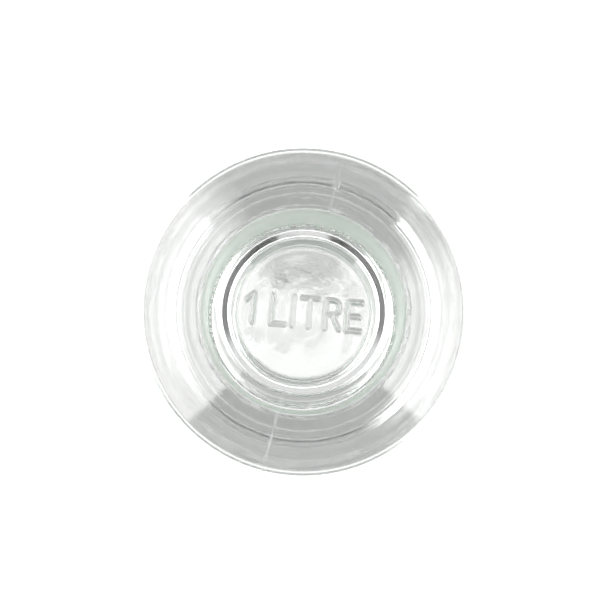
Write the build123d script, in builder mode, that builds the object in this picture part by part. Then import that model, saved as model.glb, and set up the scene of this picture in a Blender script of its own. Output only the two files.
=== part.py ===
from build123d import *
import os
from math import radians, tan

# A one-litre wide-mouth reagent bottle of moulded glass with its ground-in hollow glass stopper.
# Millimetres, +Z up. The origin is the middle of the base, on the surface that the bottle stands
# on. The body's two-part mould closed on the YZ plane, so +Y runs along its joint line.

# Bottle, outside
body_radius = 54.0
heel_radius = 12.0
bearing_inner_radius = 38.0
push_up_height = 2.8
shoulder_angle = 28.0
shoulder_corner_radius = 5.0
crease_radius = 41.5
crease_height = 142.0
crease_rounding = 1.0
neck_base_angle = 23.5
neck_base_fillet = 6.0
neck_radius = 31.0
neck_hollow = 0.4
neck_hollow_radius = 12.0
lip_radius = 31.7
lip_height = 179.0
lip_band = 7.0
lip_band_rounding = 3.0
lip_rounding = 3.3

# Bottle, inside
wall = 2.0
base_thickness = 4.2
inside_heel_radius = 10.0
inside_shoulder_radius = 2.0
inside_crease_radius = 3.0
inside_neck_fillet = 2.0

# Ground joint between the bottle and the stopper: 1 in 10 on the diameter
ground_slope = 0.05
mouth_radius = 27.5
mouth_chamfer = 0.6
ground_bottom_height = 144.5
ground_clearance = 0.1

# Stopper
stopper_bottom_height = 151.0
ground_top_height = 180.5
stopper_wall = 4.0
ground_top_rounding = 0.6
waist_radius = 22.0
waist_height = 184.37
waist_rounding = 0.6
head_radius = 24.5
head_height = 191.0
head_edge = 4.2
head_top_rounding = 0.5
head_bottom_rounding = 0.3
rim_radius = 21.8
rim_rounding = 0.8
dish_radius = 20.0
dish_depth = 0.7
roof_thickness = 7.3
roof_corner_radius = 1.5
hollow_rim_radius = 1.2
hollow_slope = 0.03

# Raised capacity mark on the stopper's head
mark = "1 LITRE"
mark_turn = 9.0
mark_rise = 0.6
letter_height = 8.4
letter_gap = 2.3
stroke_width = 1.4
flag_width = 2.0
flag_drop = 1.9
l_width = 4.0
t_width = 5.0
r_width = 4.2
r_shelf = 2.0
e_width = 3.9
e_middle_width = 3.4
space_width = 1.0

os.makedirs("parts", exist_ok=True)


def ground_radius(height):
    """Radius of the bottle's ground bore at a height."""
    return mouth_radius + (height - lip_height) * ground_slope


# Corners of the outside where straight stretches would meet
shoulder_height = crease_height - (body_radius - crease_radius) * tan(radians(shoulder_angle))
neck_base_height = crease_height + (crease_radius - neck_radius) * tan(radians(neck_base_angle))
inside_radius = body_radius - wall
inside_base_height = push_up_height + base_thickness
inside_crease_height = crease_height - wall
inside_shoulder_height = shoulder_height - wall

# ---------------------------------------------------------------- bottle
with BuildPart() as bottle:
    with BuildSketch(Plane.XZ) as bottle_half_section:
        with BuildLine():
            push_up_middle = (bearing_inner_radius / 2, push_up_height * 0.75)
            ThreePointArc((0, push_up_height), push_up_middle, (bearing_inner_radius, 0))
            outside = FilletPolyline(
                (bearing_inner_radius, 0),
                (body_radius, 0),
                (body_radius, shoulder_height),
                (crease_radius, crease_height),
                (neck_radius, neck_base_height),
                (neck_radius - neck_hollow, lip_height - 2 * lip_band),
                (lip_radius, lip_height - lip_band),
                (lip_radius, lip_height),
                (mouth_radius + mouth_chamfer, lip_height),
                radius=[
                    heel_radius,
                    shoulder_corner_radius,
                    crease_rounding,
                    neck_base_fillet,
                    neck_hollow_radius,
                    lip_band_rounding,
                    lip_rounding,
                ],
            )
            inside = FilletPolyline(
                (ground_radius(lip_height - mouth_chamfer), lip_height - mouth_chamfer),
                (ground_radius(ground_bottom_height), ground_bottom_height),
                (crease_radius - wall / 2, inside_crease_height),
                (inside_radius, inside_shoulder_height),
                (inside_radius, inside_base_height),
                (0, inside_base_height),
                radius=[inside_neck_fillet, inside_crease_radius, inside_shoulder_radius, inside_heel_radius],
            )
            Line(outside @ 1, inside @ 0)
            Line(inside @ 1, (0, push_up_height))
        make_face()
    revolve(axis=Axis.Z)

bottle.part.label = "bottle"
export_step(bottle.part, "parts/bottle.step")

# ---------------------------------------------------------------- stopper
hollow_bottom_radius = ground_radius(stopper_bottom_height) - ground_clearance - stopper_wall
roof_height = head_height - dish_depth - roof_thickness
hollow_roof_radius = hollow_bottom_radius - (roof_height - stopper_bottom_height) * hollow_slope

# Strokes of the letters of the capacity mark, each from its start to its end
letter_widths = {
    "1": flag_width,
    " ": space_width,
    "L": l_width,
    "I": 0,
    "T": t_width,
    "R": r_width,
    "E": e_width,
}
letter_middle = letter_height / 2
bowl_radius = letter_height / 4
bowl = CenterArc((r_shelf, letter_height - bowl_radius), bowl_radius, -90, 180)
stem = ((0, letter_height), (0, 0))
letter_strokes = {
    "1": [
        ((0, letter_height - flag_drop), (flag_width, letter_height)),
        ((flag_width, letter_height), (flag_width, 0)),
    ],
    " ": [],
    "L": [stem, ((0, 0), (l_width, 0))],
    "I": [stem],
    "T": [((0, letter_height), (t_width, letter_height)), ((t_width / 2, letter_height), (t_width / 2, 0))],
    "R": [
        stem,
        ((0, letter_height), (r_shelf, letter_height)),
        ((0, letter_middle), (r_shelf, letter_middle)),
        ((r_shelf, letter_middle), (r_width, 0)),
    ],
    "E": [
        stem,
        ((0, letter_height), (e_width, letter_height)),
        ((0, letter_middle), (e_middle_width, letter_middle)),
        ((0, 0), (e_width, 0)),
    ],
}
mark_width = sum(letter_widths[letter] for letter in mark) + letter_gap * (len(mark) - 1)
mark_plane = Plane.XY.offset(head_height - dish_depth).rotated((0, 0, mark_turn))

with BuildPart() as stopper:
    with BuildSketch(Plane.XZ) as stopper_half_section:
        with BuildLine():
            head = FilletPolyline(
                (0, head_height - dish_depth),
                (dish_radius, head_height - dish_depth),
                (rim_radius, head_height),
                (head_radius, head_height),
                (head_radius, head_height - head_edge),
                (waist_radius, waist_height),
                (ground_radius(ground_top_height) - ground_clearance, ground_top_height),
                (ground_radius(stopper_bottom_height) - ground_clearance, stopper_bottom_height),
                (hollow_bottom_radius, stopper_bottom_height),
                (hollow_roof_radius, roof_height),
                (0, roof_height),
                radius=[
                    rim_rounding,
                    rim_rounding,
                    head_top_rounding,
                    head_bottom_rounding,
                    waist_rounding,
                    ground_top_rounding,
                    hollow_rim_radius,
                    hollow_rim_radius,
                    roof_corner_radius,
                ],
            )
            Line(head @ 1, head @ 0)
        make_face()
    revolve(axis=Axis.Z)

    # The capacity mark is written in single strokes with round ends
    with BuildSketch(mark_plane) as capacity_mark:
        pen = -mark_width / 2
        for letter in mark:
            with Locations((pen, -letter_height / 2)):
                for start, end in letter_strokes[letter]:
                    middle = ((start[0] + end[0]) / 2, (start[1] + end[1]) / 2)
                    SlotCenterPoint(middle, end, stroke_width)
                if letter == "R":
                    SlotArc(bowl, stroke_width)
            pen += letter_widths[letter] + letter_gap
    extrude(amount=mark_rise)

stopper.part.label = "stopper"
export_step(stopper.part, "parts/stopper.step")
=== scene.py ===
import bpy
from math import atan2, cos, degrees, exp, hypot, pi, radians, sin, tan
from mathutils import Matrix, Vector, noise


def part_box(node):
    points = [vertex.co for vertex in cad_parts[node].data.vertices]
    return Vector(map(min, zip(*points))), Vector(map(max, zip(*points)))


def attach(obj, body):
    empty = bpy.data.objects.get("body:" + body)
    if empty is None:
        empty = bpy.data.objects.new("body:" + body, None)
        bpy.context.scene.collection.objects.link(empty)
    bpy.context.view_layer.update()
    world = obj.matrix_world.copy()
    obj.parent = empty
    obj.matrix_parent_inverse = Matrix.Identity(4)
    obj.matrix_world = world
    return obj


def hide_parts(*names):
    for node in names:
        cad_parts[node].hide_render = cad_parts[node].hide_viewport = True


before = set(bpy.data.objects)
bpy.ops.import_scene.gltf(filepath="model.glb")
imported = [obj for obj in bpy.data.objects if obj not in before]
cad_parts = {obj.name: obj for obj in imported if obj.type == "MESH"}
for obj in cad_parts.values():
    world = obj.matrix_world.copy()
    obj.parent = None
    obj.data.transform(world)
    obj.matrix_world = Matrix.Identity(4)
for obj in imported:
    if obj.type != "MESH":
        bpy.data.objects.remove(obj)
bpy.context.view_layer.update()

MM = 0.001

# ---------------------------------------------------------------- sizes, in millimetres
bottle_low, bottle_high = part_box("bottle")
stopper_low, stopper_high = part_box("stopper")
BODY_RADIUS = 54.0
LIP_HEIGHT = bottle_high.z / MM
HEAD_HEIGHT = stopper_high.z / MM
STOPPER_BOTTOM = stopper_low.z / MM

# The view: straight down, turned so that the mould's joint line runs a little clockwise of upright
VIEW_TURN = radians(14.4)
CAMERA_HEIGHT = 0.70
BODY_SHARE = 0.27333  # the body's radius as a share of the picture's width
VIEW_SHIFT = (-0.00583, 0.02)  # how far the bottle stands from the picture's middle, as shares of its width
SENSOR_WIDTH = 36.0
SHOULDER_EDGE_HEIGHT = 0.1317  # where the outline seen from above lies


# ---------------------------------------------------------------- outline helpers
def line_to(points, end, step):
    """Adds evenly spaced points from the last point to end."""
    start = points[-1]
    count = max(1, int(hypot(end[0] - start[0], end[1] - start[1]) / step + 0.5))
    for i in range(1, count + 1):
        share = i / count
        r = start[0] + (end[0] - start[0]) * share
        z = start[1] + (end[1] - start[1]) * share
        points.append((r, z))


def rounded(corners, radii, step=2.5, arc_step=9.0):
    """An outline through corners, each inner corner rounded by its radius: (r, z) points."""
    points = [corners[0]]
    for before, corner, after, radius in zip(corners, corners[1:], corners[2:], radii):
        a = Vector(before) - Vector(corner)
        b = Vector(after) - Vector(corner)
        turn = pi - a.angle(b)
        reach = radius * tan(turn / 2)
        a.normalize()
        b.normalize()
        middle = (a + b).normalized() * (radius / cos(turn / 2)) + Vector(corner)
        first = Vector(corner) + a * reach
        last = Vector(corner) + b * reach
        line_to(points, tuple(first), step)
        from_angle = atan2(*(first - middle).yx)
        to_angle = atan2(*(last - middle).yx)
        sweep = (to_angle - from_angle + pi) % (2 * pi) - pi
        count = max(2, int(abs(degrees(sweep)) / arc_step + 0.5))
        for i in range(1, count + 1):
            angle = from_angle + sweep * i / count
            points.append((middle.x + radius * cos(angle), middle.y + radius * sin(angle)))
    line_to(points, corners[-1], step)
    return points


def finer(points, near, reach, above, step):
    """The same outline with its points about step apart where r is within reach of near, above a height."""
    result = [points[0]]
    for point in points[1:]:
        middle = (Vector(result[-1]) + Vector(point)) / 2
        line_to(result, point, step if abs(middle.x - near) < reach and middle.y > above else 1e6)
    return result


def spun(name, outline, angles, place):
    """A closed mesh of revolution. outline runs from the axis out and back to it. place(r, z, angle, k)
    moves the k-th outline point at an angle and returns its (r, z) there."""
    verts, faces, rings = [], [], []
    for k, (r, z) in enumerate(outline):
        if r < 1e-6:
            rings.append([len(verts)] * len(angles))
            verts.append((0, 0, place(0.0, z, 0.0, k)[1] * MM))
            continue
        ring = []
        for angle in angles:
            pr, pz = place(r, z, angle, k)
            ring.append(len(verts))
            verts.append((pr * cos(angle) * MM, pr * sin(angle) * MM, pz * MM))
        rings.append(ring)
    count = len(angles)
    area = sum(p[0] * q[1] - q[0] * p[1] for p, q in zip(outline, outline[1:]))
    if area < 0:  # faces look outwards whichever way round the outline runs
        rings.reverse()
    for a, b in zip(rings, rings[1:]):
        for i in range(count):
            j = (i + 1) % count
            corners = [a[i], a[j], b[j], b[i]]
            face = [v for n, v in enumerate(corners) if v not in corners[:n]]
            if len(face) > 2:
                faces.append(face)
    mesh = bpy.data.meshes.new(name)
    mesh.from_pydata(verts, [], faces)
    mesh.validate()
    for polygon in mesh.polygons:
        polygon.use_smooth = True
    piece = bpy.data.objects.new(name, mesh)
    bpy.context.scene.collection.objects.link(piece)
    return piece


WAVE_RADIUS = 40.0


def wave(angle, z, size, seed):
    """Smooth seeded unevenness of a round surface, about -1 to 1. size is in millimetres."""
    x, y = WAVE_RADIUS * cos(angle), WAVE_RADIUS * sin(angle)
    return noise.noise(Vector((x / size + seed, y / size, z / size)))


def turn_between(a, b):
    """Signed angle from b to a, from -pi to pi."""
    return (a - b + pi) % (2 * pi) - pi


# ---------------------------------------------------------------- bottle
WALL = 2.0
PUSH_UP_RADIUS = 38.0
PUSH_UP_HEIGHT = 2.8
CREASE = (41.5, 142.0)
SHOULDER_ANGLE = 28.0
NECK_BASE_ANGLE = 23.5
TOP_START = 130.0  # the shoulder, crease and neck lie above this
SHOULDER_HEIGHT = CREASE[1] - (BODY_RADIUS - CREASE[0]) * tan(radians(SHOULDER_ANGLE))
NECK_RADIUS = 31.0
NECK_BASE = (NECK_RADIUS, CREASE[1] + (CREASE[0] - NECK_RADIUS) * tan(radians(NECK_BASE_ANGLE)))
LIP_RADIUS = 31.7
LIP_BAND = 7.0
MOUTH_RADIUS = 27.5
MOUTH_CHAMFER = 0.6
NECK_HOLLOW = 0.4
GROUND_SLOPE = 0.05
GROUND_BOTTOM = 144.5
INSIDE_BASE = 7.0

# The joint was ground a little off the neck's axis, towards the front
GROUND_OFFSET = 1.5
GROUND_SIDE = radians(-86)

# Foot of the neck, where the neck ring met the body mould
NECK_FOOT_RADIUS = 34.3


def ground_radius(z):
    return MOUTH_RADIUS + (z - LIP_HEIGHT) * GROUND_SLOPE


def off_centre(angle):
    return GROUND_OFFSET * cos(angle - GROUND_SIDE)


def ridge(distance, shape):
    """Height of a rounded ridge at a distance from its line. shape is its height and half-width."""
    height, half_width = shape
    return height * exp(-((distance / half_width) ** 2))


def fade(x, low, high):
    """0 below low, 1 above high, smooth between."""
    t = min(1.0, max(0.0, (x - low) / (high - low)))
    return t * t * (3 - 2 * t)


PUSH_UP_RINGS = 12
push_up = []
for ring in range(PUSH_UP_RINGS):
    share = ring / PUSH_UP_RINGS
    push_up.append((PUSH_UP_RADIUS * share, PUSH_UP_HEIGHT * (1 - share**2)))
outside = push_up + rounded(
    [
        (PUSH_UP_RADIUS, 0.0),
        (BODY_RADIUS, 0.0),
        (BODY_RADIUS, SHOULDER_HEIGHT),
        CREASE,
        NECK_BASE,
        (NECK_RADIUS - NECK_HOLLOW, LIP_HEIGHT - 2 * LIP_BAND),
        (LIP_RADIUS, LIP_HEIGHT - LIP_BAND),
        (LIP_RADIUS, LIP_HEIGHT),
        (MOUTH_RADIUS + MOUTH_CHAMFER, LIP_HEIGHT),
    ],
    [12.0, 5.0, 0.5, 6.0, 12.0, 3.0, 3.3],
    arc_step=6.0,
)
outside = finer(outside, CREASE[0], 0.8, TOP_START, 0.1)
outside = finer(outside, NECK_FOOT_RADIUS, 1.6, TOP_START, 0.15)
inside = rounded(
    [
        (ground_radius(LIP_HEIGHT - MOUTH_CHAMFER), LIP_HEIGHT - MOUTH_CHAMFER),
        (ground_radius(GROUND_BOTTOM), GROUND_BOTTOM),
        (CREASE[0] - WALL / 2, CREASE[1] - WALL),
        (BODY_RADIUS - WALL, SHOULDER_HEIGHT - WALL),
        (BODY_RADIUS - WALL, INSIDE_BASE),
        (0.0, INSIDE_BASE),
    ],
    [2.0, 3.0, 2.0, 10.0],
    arc_step=6.0,
)
inside = finer(inside, CREASE[0] - WALL / 2, 1.5, TOP_START, 0.5)
bottle_outline = outside + inside
FIRST_INSIDE = len(outside)

# Extra angles close to the two seams, in degrees, carry the narrow fins
SEAM_OFFSETS = [0.1, 0.2, 0.32, 0.5, 0.8]
SEAM_SIGNS = (-1, 1)
seam_angles = [
    side * pi / 2 + radians(sign * offset)
    for side in SEAM_SIGNS
    for sign in SEAM_SIGNS
    for offset in SEAM_OFFSETS
]
BOTTLE_ANGLES = 324
bottle_angles = sorted([(2 * pi * i / BOTTLE_ANGLES) - pi for i in range(BOTTLE_ANGLES)] + seam_angles)

# Marks of the mould: height and half-width of the seams' fins and of the crease's ridge
BACK_FIN = (0.28, 0.32)
FRONT_FIN = (0.26, 0.18)
WALL_FIN_SHARE = 0.35
CREASE_RIDGE = (0.20, 0.25)
CRACKLE_HEIGHT = 0.5
OUTSIDE_UNEVEN = 0.06
WALL_INSET = 0.12  # keeps the uneven wall and its fins within the body's radius
INSIDE_UNEVEN = 0.06
INSIDE_RIPPLE = 0.012
HEEL_UNEVEN = 0.22
BOWL_LEVEL_RADIUS = 30.0  # the inside base is a shallow bowl, level with the plain base at this radius
BOWL_SPREAD = 800.0
BASE_TOP = 20.0


def bottle_place(r, z, angle, k):
    if k >= FIRST_INSIDE:
        if z > GROUND_BOTTOM - 1 and r < NECK_RADIUS:
            return r + off_centre(angle), z
        # The inside of the body was blown, so it is uneven
        uneven = INSIDE_UNEVEN * wave(angle, z, 28.0, 5.0) + INSIDE_RIPPLE * wave(angle, z, 12.0, 9.0)
        if z < BASE_TOP and r < BODY_RADIUS - WALL:
            heel = HEEL_UNEVEN * wave(angle, z, 6.0, 77.0) * fade(r, 41.0, 46.0)
            bowl = (r * r - BOWL_LEVEL_RADIUS**2) / BOWL_SPREAD
            return r, z + bowl + uneven * 0.25 * fade(r, 0, 12) + heel
        return r + uneven * fade(z, 8.0, 20.0), z + 0.6 * uneven * fade(z, 125.0, 135.0)
    if z > LIP_HEIGHT - 1e-3 and r < LIP_RADIUS - 2.0:
        share = fade(LIP_RADIUS - 2.0 - r, 0.0, LIP_RADIUS - 2.6 - MOUTH_RADIUS)
        return r + off_centre(angle) * share, z - 0.15 * (1 + wave(angle, z, 9.0, 3.0)) * share
    uneven = OUTSIDE_UNEVEN * wave(angle, z, 30.0, 1.0)
    pr, pz = r + (uneven - WALL_INSET) * fade(z, 2.0, 10.0), z
    back, front = (abs(turn_between(angle, side * pi / 2)) * r for side in (1, -1))
    on_top = z > TOP_START and NECK_RADIUS + 1.5 < r < BODY_RADIUS - 3.0
    if z > 4.0 and r > NECK_RADIUS - 1.0:
        fin = ridge(back, BACK_FIN) + ridge(front, FRONT_FIN)
        pr, pz = (pr, pz + fin) if on_top else (pr + WALL_FIN_SHARE * fin, pz)
    if on_top:
        pz += ridge(r - CREASE[0], CREASE_RIDGE)
        crackle = 0.5 + wave(angle, z, 1.3, 20.0) + 0.7 * wave(angle, z, 4.0, 31.0)
        width = 0.35 + 0.25 * wave(angle, z, 3.0, 57.0)
        pz += ridge(r - NECK_FOOT_RADIUS, (CRACKLE_HEIGHT * max(0.0, crackle), max(0.15, width)))
    return pr, pz


bottle = spun("bottle_glass", bottle_outline, bottle_angles, bottle_place)

# ---------------------------------------------------------------- stopper
HEAD_RADIUS = 24.5
RIM_RADIUS = 21.8
DISH_RADIUS = 20.0
DISH_HEIGHT = HEAD_HEIGHT - 0.7
HEAD_EDGE = 4.2
WAIST = (22.0, 184.37)
CLEARANCE = 0.1
GROUND_TOP = 180.5
STOPPER_WALL = 4.0
ROOF_HEIGHT = DISH_HEIGHT - 7.3
HOLLOW_BOTTOM = ground_radius(STOPPER_BOTTOM) - CLEARANCE - STOPPER_WALL
HOLLOW_ROOF = HOLLOW_BOTTOM - (ROOF_HEIGHT - STOPPER_BOTTOM) * 0.03

# Generic capacity mark, in single strokes
MARK = "1 LITRE"
MARK_TURN = radians(9.0)
MARK_RISE = 0.6
MARK_REACH = 18.5
LETTER_HEIGHT = 8.4
LETTER_GAP = 2.3
STROKE_HALF = 0.8
LETTER_WIDTHS = {"1": 2.0, " ": 1.0, "L": 4.0, "I": 0.0, "T": 5.0, "R": 4.2, "E": 3.9}
TOP = LETTER_HEIGHT
HALF = LETTER_HEIGHT / 2
BOWL = LETTER_HEIGHT / 4
LETTER_STROKES = {
    "1": [((0, TOP - 1.9), (2.0, TOP)), ((2.0, TOP), (2.0, 0))],
    " ": [],
    "L": [((0, TOP), (0, 0)), ((0, 0), (4.0, 0))],
    "I": [((0, TOP), (0, 0))],
    "T": [((0, TOP), (5.0, TOP)), ((2.5, TOP), (2.5, 0))],
    "R": [
        ((0, TOP), (0, 0)),
        ((0, TOP), (2.0, TOP)),
        ((0, HALF), (2.0, HALF)),
        ((2.0, HALF), (4.2, 0)),
    ],
    "E": [((0, TOP), (0, 0)), ((0, TOP), (3.9, TOP)), ((0, HALF), (3.4, HALF)), ((0, 0), (3.9, 0))],
}
for i in range(6):
    first, last = (-pi / 2 + pi * n / 6 for n in (i, i + 1))
    LETTER_STROKES["R"].append(
        (
            (2.0 + BOWL * cos(first), TOP - BOWL + BOWL * sin(first)),
            (2.0 + BOWL * cos(last), TOP - BOWL + BOWL * sin(last)),
        )
    )

mark_strokes = []
pen = -(sum(LETTER_WIDTHS[letter] for letter in MARK) + LETTER_GAP * (len(MARK) - 1)) / 2
for letter in MARK:
    for (x0, y0), (x1, y1) in LETTER_STROKES[letter]:
        mark_strokes.append((pen + x0, y0 - HALF, pen + x1, y1 - HALF))
    pen += LETTER_WIDTHS[letter] + LETTER_GAP


def from_stroke(x, y, stroke):
    """Distance from a point to a straight stroke."""
    x0, y0, x1, y1 = stroke
    dx, dy = x1 - x0, y1 - y0
    share = min(1.0, max(0.0, ((x - x0) * dx + (y - y0) * dy) / (dx * dx + dy * dy)))
    return hypot(x - x0 - share * dx, y - y0 - share * dy)


def mark_rise(r, angle):
    """Height of the rounded letters at a place on the head."""
    x, y = r * cos(angle - MARK_TURN), r * sin(angle - MARK_TURN)
    if abs(y) > HALF + STROKE_HALF or abs(x) > MARK_REACH:
        return 0.0
    nearest = min(from_stroke(x, y, stroke) for stroke in mark_strokes)
    return MARK_RISE * cos(pi / 2 * nearest / STROKE_HALF) ** 1.5 if nearest < STROKE_HALF else 0.0


DISH_RINGS = 84
DISH_FLAT = DISH_RADIUS * 0.95
dish = [(DISH_FLAT * i / DISH_RINGS, DISH_HEIGHT) for i in range(DISH_RINGS)]
head_and_cone = rounded(
    [
        (DISH_FLAT, DISH_HEIGHT),
        (DISH_RADIUS, DISH_HEIGHT),
        (RIM_RADIUS, HEAD_HEIGHT),
        (HEAD_RADIUS, HEAD_HEIGHT),
        (HEAD_RADIUS, HEAD_HEIGHT - HEAD_EDGE),
        WAIST,
        (ground_radius(GROUND_TOP) - CLEARANCE, GROUND_TOP),
        (ground_radius(STOPPER_BOTTOM) - CLEARANCE, STOPPER_BOTTOM),
        (HOLLOW_BOTTOM, STOPPER_BOTTOM),
        (HOLLOW_ROOF, ROOF_HEIGHT),
        (0.0, ROOF_HEIGHT),
    ],
    [0.8, 0.8, 0.5, 0.3, 0.6, 0.6, 1.2, 1.2, 1.5],
    step=1.6,
    arc_step=5.0,
)
# Flat rim, edge and conical underside need close rings, so that their shading stays true
head_and_cone = finer(head_and_cone, HEAD_RADIUS - 1.6, 2.0, WAIST[1] - 1.0, 0.25)
stopper_outline = dish + head_and_cone
LAST_DISH = len(dish)
DISH_SWELL = 0.05
FIRST_HOLLOW = next(
    k
    for k, (r, z) in enumerate(stopper_outline)
    if k > LAST_DISH and z < STOPPER_BOTTOM + 0.01 and r < HEAD_RADIUS
)
STOPPER_ANGLES = 320
stopper_angles = [(2 * pi * i / STOPPER_ANGLES) - pi for i in range(STOPPER_ANGLES)]


def stopper_place(r, z, angle, k):
    if k < LAST_DISH:
        x, y = r * cos(angle), r * sin(angle)
        swell = DISH_SWELL * noise.noise(Vector((x / 11 + 3, y / 11, 0.0))) * fade(19.5 - r, 0.0, 4.0)
        return r, z + swell + mark_rise(r, angle)
    if k >= FIRST_HOLLOW:
        share = 1 - fade(z, 165.0, ROOF_HEIGHT)
        return r + off_centre(angle) * share, z
    share = 1 - fade(z, GROUND_TOP, WAIST[1] - 0.6)
    return r + off_centre(angle) * share, z


stopper = spun("stopper_glass", stopper_outline, stopper_angles, stopper_place)


# ---------------------------------------------------------------- materials
def add(tree, kind, **inputs):
    """A new node with its inputs set by name, where a socket gives a link and anything else a value."""
    node = tree.nodes.new(kind)
    for key, value in inputs.items():
        socket = node.inputs[key.replace("_", " ")]
        if isinstance(value, bpy.types.NodeSocket):
            tree.links.new(value, socket)
        else:
            socket.default_value = value
    return node


def math_node(tree, operation, *values):
    node = tree.nodes.new("ShaderNodeMath")
    node.operation = operation
    for socket, value in zip(node.inputs, values):
        if isinstance(value, bpy.types.NodeSocket):
            tree.links.new(value, socket)
        else:
            socket.default_value = value
    return node.outputs[0]


GLASS_IOR = 1.52
SHADE = (0.965, 0.97, 0.965, 1.0)  # what each face lets through of the light that falls on the table
TINT = (0.86, 0.95, 0.88, 1.0)
TINT_DENSITY = 2.6
GROUND_TONE = (0.70, 0.73, 0.69, 1.0)


def glass(name, smooth, rough, bump_height, bump_scale, matt=0.0):
    """Glass with a green cast in its depth, uneven polish and fine marks. smooth and rough are the ends
    of its roughness, and matt is the share of the light that a ground face scatters."""
    material = bpy.data.materials.new(name)
    material.use_nodes = True
    tree = material.node_tree
    tree.nodes.clear()
    place = tree.nodes.new("ShaderNodeTexCoord").outputs["Object"]
    cloud = add(tree, "ShaderNodeTexNoise", Vector=place, Scale=90.0, Detail=4.0).outputs["Fac"]
    spread = add(
        tree,
        "ShaderNodeMapRange",
        Value=cloud,
        From_Min=0.35,
        From_Max=0.75,
        To_Min=smooth,
        To_Max=rough,
    )
    fine = add(tree, "ShaderNodeTexNoise", Vector=place, Scale=bump_scale, Detail=3.0).outputs["Fac"]
    bump = add(tree, "ShaderNodeBump", Height=fine, Strength=0.4, Distance=bump_height)
    clear = add(
        tree,
        "ShaderNodeBsdfGlass",
        Roughness=spread.outputs["Result"],
        IOR=GLASS_IOR,
        Normal=bump.outputs["Normal"],
    )
    surface = clear.outputs[0]
    if matt > 0:
        powdery = add(tree, "ShaderNodeBsdfDiffuse", Color=GROUND_TONE, Normal=bump.outputs["Normal"])
        frost = tree.nodes.new("ShaderNodeMixShader")
        frost.inputs[0].default_value = matt
        tree.links.new(surface, frost.inputs[1])
        tree.links.new(powdery.outputs[0], frost.inputs[2])
        surface = frost.outputs[0]
    passing = add(tree, "ShaderNodeBsdfTransparent", Color=SHADE)
    rays = tree.nodes.new("ShaderNodeLightPath")
    lighting = math_node(tree, "MAXIMUM", rays.outputs["Is Shadow Ray"], rays.outputs["Is Diffuse Ray"])
    mix = tree.nodes.new("ShaderNodeMixShader")
    tree.links.new(lighting, mix.inputs[0])
    tree.links.new(surface, mix.inputs[1])
    tree.links.new(passing.outputs[0], mix.inputs[2])
    depth = add(tree, "ShaderNodeVolumeAbsorption", Color=TINT, Density=TINT_DENSITY)
    out = tree.nodes.new("ShaderNodeOutputMaterial")
    tree.links.new(mix.outputs[0], out.inputs["Surface"])
    tree.links.new(depth.outputs[0], out.inputs["Volume"])
    return material


clear_glass = glass("clear_glass", 0.0, 0.012, 0.00004, 220.0)
ground_glass = glass("ground_glass", 0.50, 0.70, 0.00008, 2500.0, 0.17)

GROUND_SLOT = 1
for piece in (bottle, stopper):
    piece.data.materials.append(clear_glass)
    piece.data.materials.append(ground_glass)


def grind(piece, low, high, inner, outer):
    """Gives the faces of the ground joint the ground glass, up to slightly ragged edges."""
    for polygon in piece.data.polygons:
        x, y, z = polygon.center / MM
        angle = atan2(y, x)
        radius = hypot(x, y) - off_centre(angle)
        ragged = 0.5 * wave(angle, 0.0, 3.0, 40.0)
        if low + ragged < z < high + ragged and inner < radius < outer and abs(polygon.normal.z) < 0.6:
            polygon.material_index = GROUND_SLOT


grind(bottle, 149.0, LIP_HEIGHT + 0.5, 25.0, MOUTH_RADIUS + 0.7)
grind(stopper, STOPPER_BOTTOM + 1.0, GROUND_TOP - 0.2, 25.0, 28.0)

# The lip's top is ground too, out from a slightly ragged edge
for polygon in bottle.data.polygons:
    x, y, z = polygon.center / MM
    angle = atan2(y, x)
    ragged = 0.12 * wave(angle, 0.0, 1.5, 61.0)
    beyond_mouth = hypot(x, y) - off_centre(angle) > MOUTH_RADIUS + 0.3 + ragged
    if z > LIP_HEIGHT - 1.6 and polygon.normal.z > 0.5 and beyond_mouth:
        polygon.material_index = GROUND_SLOT

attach(bottle, "bottle")
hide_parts("bottle")
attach(stopper, "stopper")
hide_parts("stopper")

# ---------------------------------------------------------------- table, light and camera
TABLE_SEEN = (0.86, 0.86, 0.86, 1.0)  # the table as the camera sees it directly
TABLE_PAINTED_SHADOW = (0.26, 0.26, 0.26, 1.0)  # and a painted shadow near the bottle, seen through the glass
SHADOW_REACH = (0.078, 0.100)
CLEAR_SHARE = 0.45  # how near the open table comes to its own tone, seen through glass; the rest is painted shade

TABLE_SIZE = 6.0
TABLE_DROP = -0.0003
bpy.ops.mesh.primitive_plane_add(size=TABLE_SIZE, location=(0, 0, TABLE_DROP))
table = bpy.context.object
table.name = "table"
paper = bpy.data.materials.new("table_paper")
paper.use_nodes = True
paper_tree = paper.node_tree
paper_shader = paper_tree.nodes["Principled BSDF"]
paper_shader.inputs["Roughness"].default_value = 0.9
paper_rays = paper_tree.nodes.new("ShaderNodeLightPath")
paper_place = paper_tree.nodes.new("ShaderNodeTexCoord").outputs["Object"]
from_middle = add(paper_tree, "ShaderNodeVectorMath")
from_middle.operation = "LENGTH"
paper_tree.links.new(paper_place, from_middle.inputs[0])
# Painted shadow: the table is darker within SHADOW_REACH of the bottle, and the open table is darker too,
# wherever it is seen through glass or in reflections rather than directly
beyond_painted_shadow = add(
    paper_tree,
    "ShaderNodeMapRange",
    Value=from_middle.outputs["Value"],
    From_Min=SHADOW_REACH[0],
    From_Max=SHADOW_REACH[1],
    To_Max=CLEAR_SHARE,
)
seen_directly = paper_rays.outputs["Is Camera Ray"]
unshaded_share = math_node(paper_tree, "MAXIMUM", seen_directly, beyond_painted_shadow.outputs["Result"])
painted_shadow_tone = paper_tree.nodes.new("ShaderNodeMix")
painted_shadow_tone.data_type = "RGBA"
paper_tree.links.new(unshaded_share, painted_shadow_tone.inputs["Factor"])
painted_shadow_tone.inputs[6].default_value = TABLE_PAINTED_SHADOW
painted_shadow_tone.inputs[7].default_value = TABLE_SEEN
paper_tree.links.new(painted_shadow_tone.outputs[2], paper_shader.inputs["Base Color"])
table.data.materials.append(paper)


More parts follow.
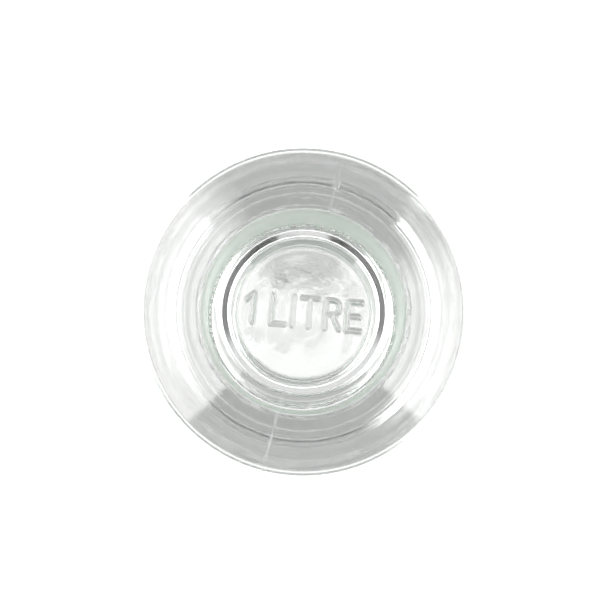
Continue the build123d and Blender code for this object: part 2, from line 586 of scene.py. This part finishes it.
ROOM_LEVEL = 0.66
DARK_LEVEL = 0.03
BOX_LEVEL = 4.6
LAMP_LEVEL = 6.0
BACKDROP_LEVEL = 0.9  # what the camera itself sees behind the bottle


def studio():
    """Plain studio light: a soft box on each side, a dim room in front and behind, and a light overhead."""
    world = bpy.data.worlds.new("studio")
    world.use_nodes = True
    bpy.context.scene.world = world
    tree = world.node_tree
    tree.nodes.clear()
    direction = tree.nodes.new("ShaderNodeTexCoord").outputs["Generated"]
    turned = tree.nodes.new("ShaderNodeVectorRotate")
    turned.rotation_type = "Z_AXIS"
    turned.inputs["Angle"].default_value = -VIEW_TURN
    tree.links.new(direction, turned.inputs["Vector"])
    split = add(tree, "ShaderNodeSeparateXYZ", Vector=turned.outputs["Vector"])
    right, up, high = split.outputs

    def ramp(value, low, high_end):
        node = add(tree, "ShaderNodeMapRange", Value=value, From_Min=low, From_Max=high_end)
        node.interpolation_type = "SMOOTHSTEP"
        return node.outputs["Result"]

    def band(value, low, low_end, high_start, high_end):
        return math_node(tree, "MULTIPLY", ramp(value, low, low_end), ramp(value, high_end, high_start))

    clockwise = math_node(tree, "ARCTAN2", right, up)
    box_height = band(high, 0.14, 0.28, 0.88, 0.95)
    right_box = band(clockwise, radians(50), radians(80), radians(131), radians(135))
    left_box = band(clockwise, radians(-135), radians(-132), radians(-50), radians(-25))
    boxes = math_node(tree, "MULTIPLY", box_height, math_node(tree, "ADD", right_box, left_box))
    lamp = ramp(high, 0.9935, 0.9945)
    shade_depth = band(up, 0.010, 0.022, 0.034, 0.050)
    shade_width = band(right, -0.042, -0.018, 0.014, 0.036)
    behind_camera = math_node(tree, "MULTIPLY", shade_depth, shade_width)
    overhead = math_node(tree, "MULTIPLY", lamp, math_node(tree, "SUBTRACT", 1.0, behind_camera))
    around = math_node(tree, "ABSOLUTE", clockwise)
    dark_side = band(around, radians(60), radians(80), radians(158), radians(164))
    floor_line = math_node(tree, "MULTIPLY", ramp(high, 0.17, 0.12), dark_side)
    below_boxes = math_node(tree, "SUBTRACT", 1.0, floor_line)
    low_room = math_node(tree, "MULTIPLY", ramp(high, 0.52, 0.40), below_boxes)
    level = math_node(tree, "MULTIPLY_ADD", low_room, ROOM_LEVEL, DARK_LEVEL)
    level = math_node(tree, "MULTIPLY_ADD", boxes, BOX_LEVEL, level)
    level = math_node(tree, "MULTIPLY_ADD", overhead, LAMP_LEVEL, level)
    rays = tree.nodes.new("ShaderNodeLightPath")
    seen = add(tree, "ShaderNodeMix", Factor=rays.outputs["Is Camera Ray"])
    tree.links.new(level, seen.inputs[2])
    seen.inputs[3].default_value = BACKDROP_LEVEL
    background = tree.nodes.new("ShaderNodeBackground")
    tree.links.new(seen.outputs[0], background.inputs["Strength"])
    out = tree.nodes.new("ShaderNodeOutputWorld")
    tree.links.new(background.outputs[0], out.inputs["Surface"])


studio()

LAMP_SIZE = 1.0
LAMP_POWER = 10.0
LAMP_HEIGHT = 1.2
overhead = bpy.data.lights.new("overhead", "AREA")
overhead.shape = "DISK"
overhead.size = LAMP_SIZE
overhead.energy = LAMP_POWER
overhead_lamp = bpy.data.objects.new("overhead", overhead)
overhead_lamp.location = (0.0, 0.0, LAMP_HEIGHT)
overhead_lamp.visible_camera = False
overhead_lamp.visible_glossy = False
overhead_lamp.visible_transmission = False
bpy.context.scene.collection.objects.link(overhead_lamp)

camera = bpy.data.objects.new("camera", bpy.data.cameras.new("camera"))
bpy.context.scene.collection.objects.link(camera)
camera.location = (0.0, 0.0, CAMERA_HEIGHT)
camera.rotation_euler = (0.0, 0.0, VIEW_TURN)
camera.data.sensor_width = SENSOR_WIDTH
reach = CAMERA_HEIGHT - SHOULDER_EDGE_HEIGHT
camera.data.lens = SENSOR_WIDTH * BODY_SHARE * reach / (BODY_RADIUS * MM)
camera.data.shift_x, camera.data.shift_y = VIEW_SHIFT
bpy.context.scene.camera = camera

GLASS_BOUNCES = 96
render = bpy.context.scene
render.view_settings.view_transform = "Standard"
render.cycles.max_bounces = GLASS_BOUNCES
render.cycles.transmission_bounces = GLASS_BOUNCES
render.cycles.glossy_bounces = GLASS_BOUNCES
render.cycles.transparent_max_bounces = 32
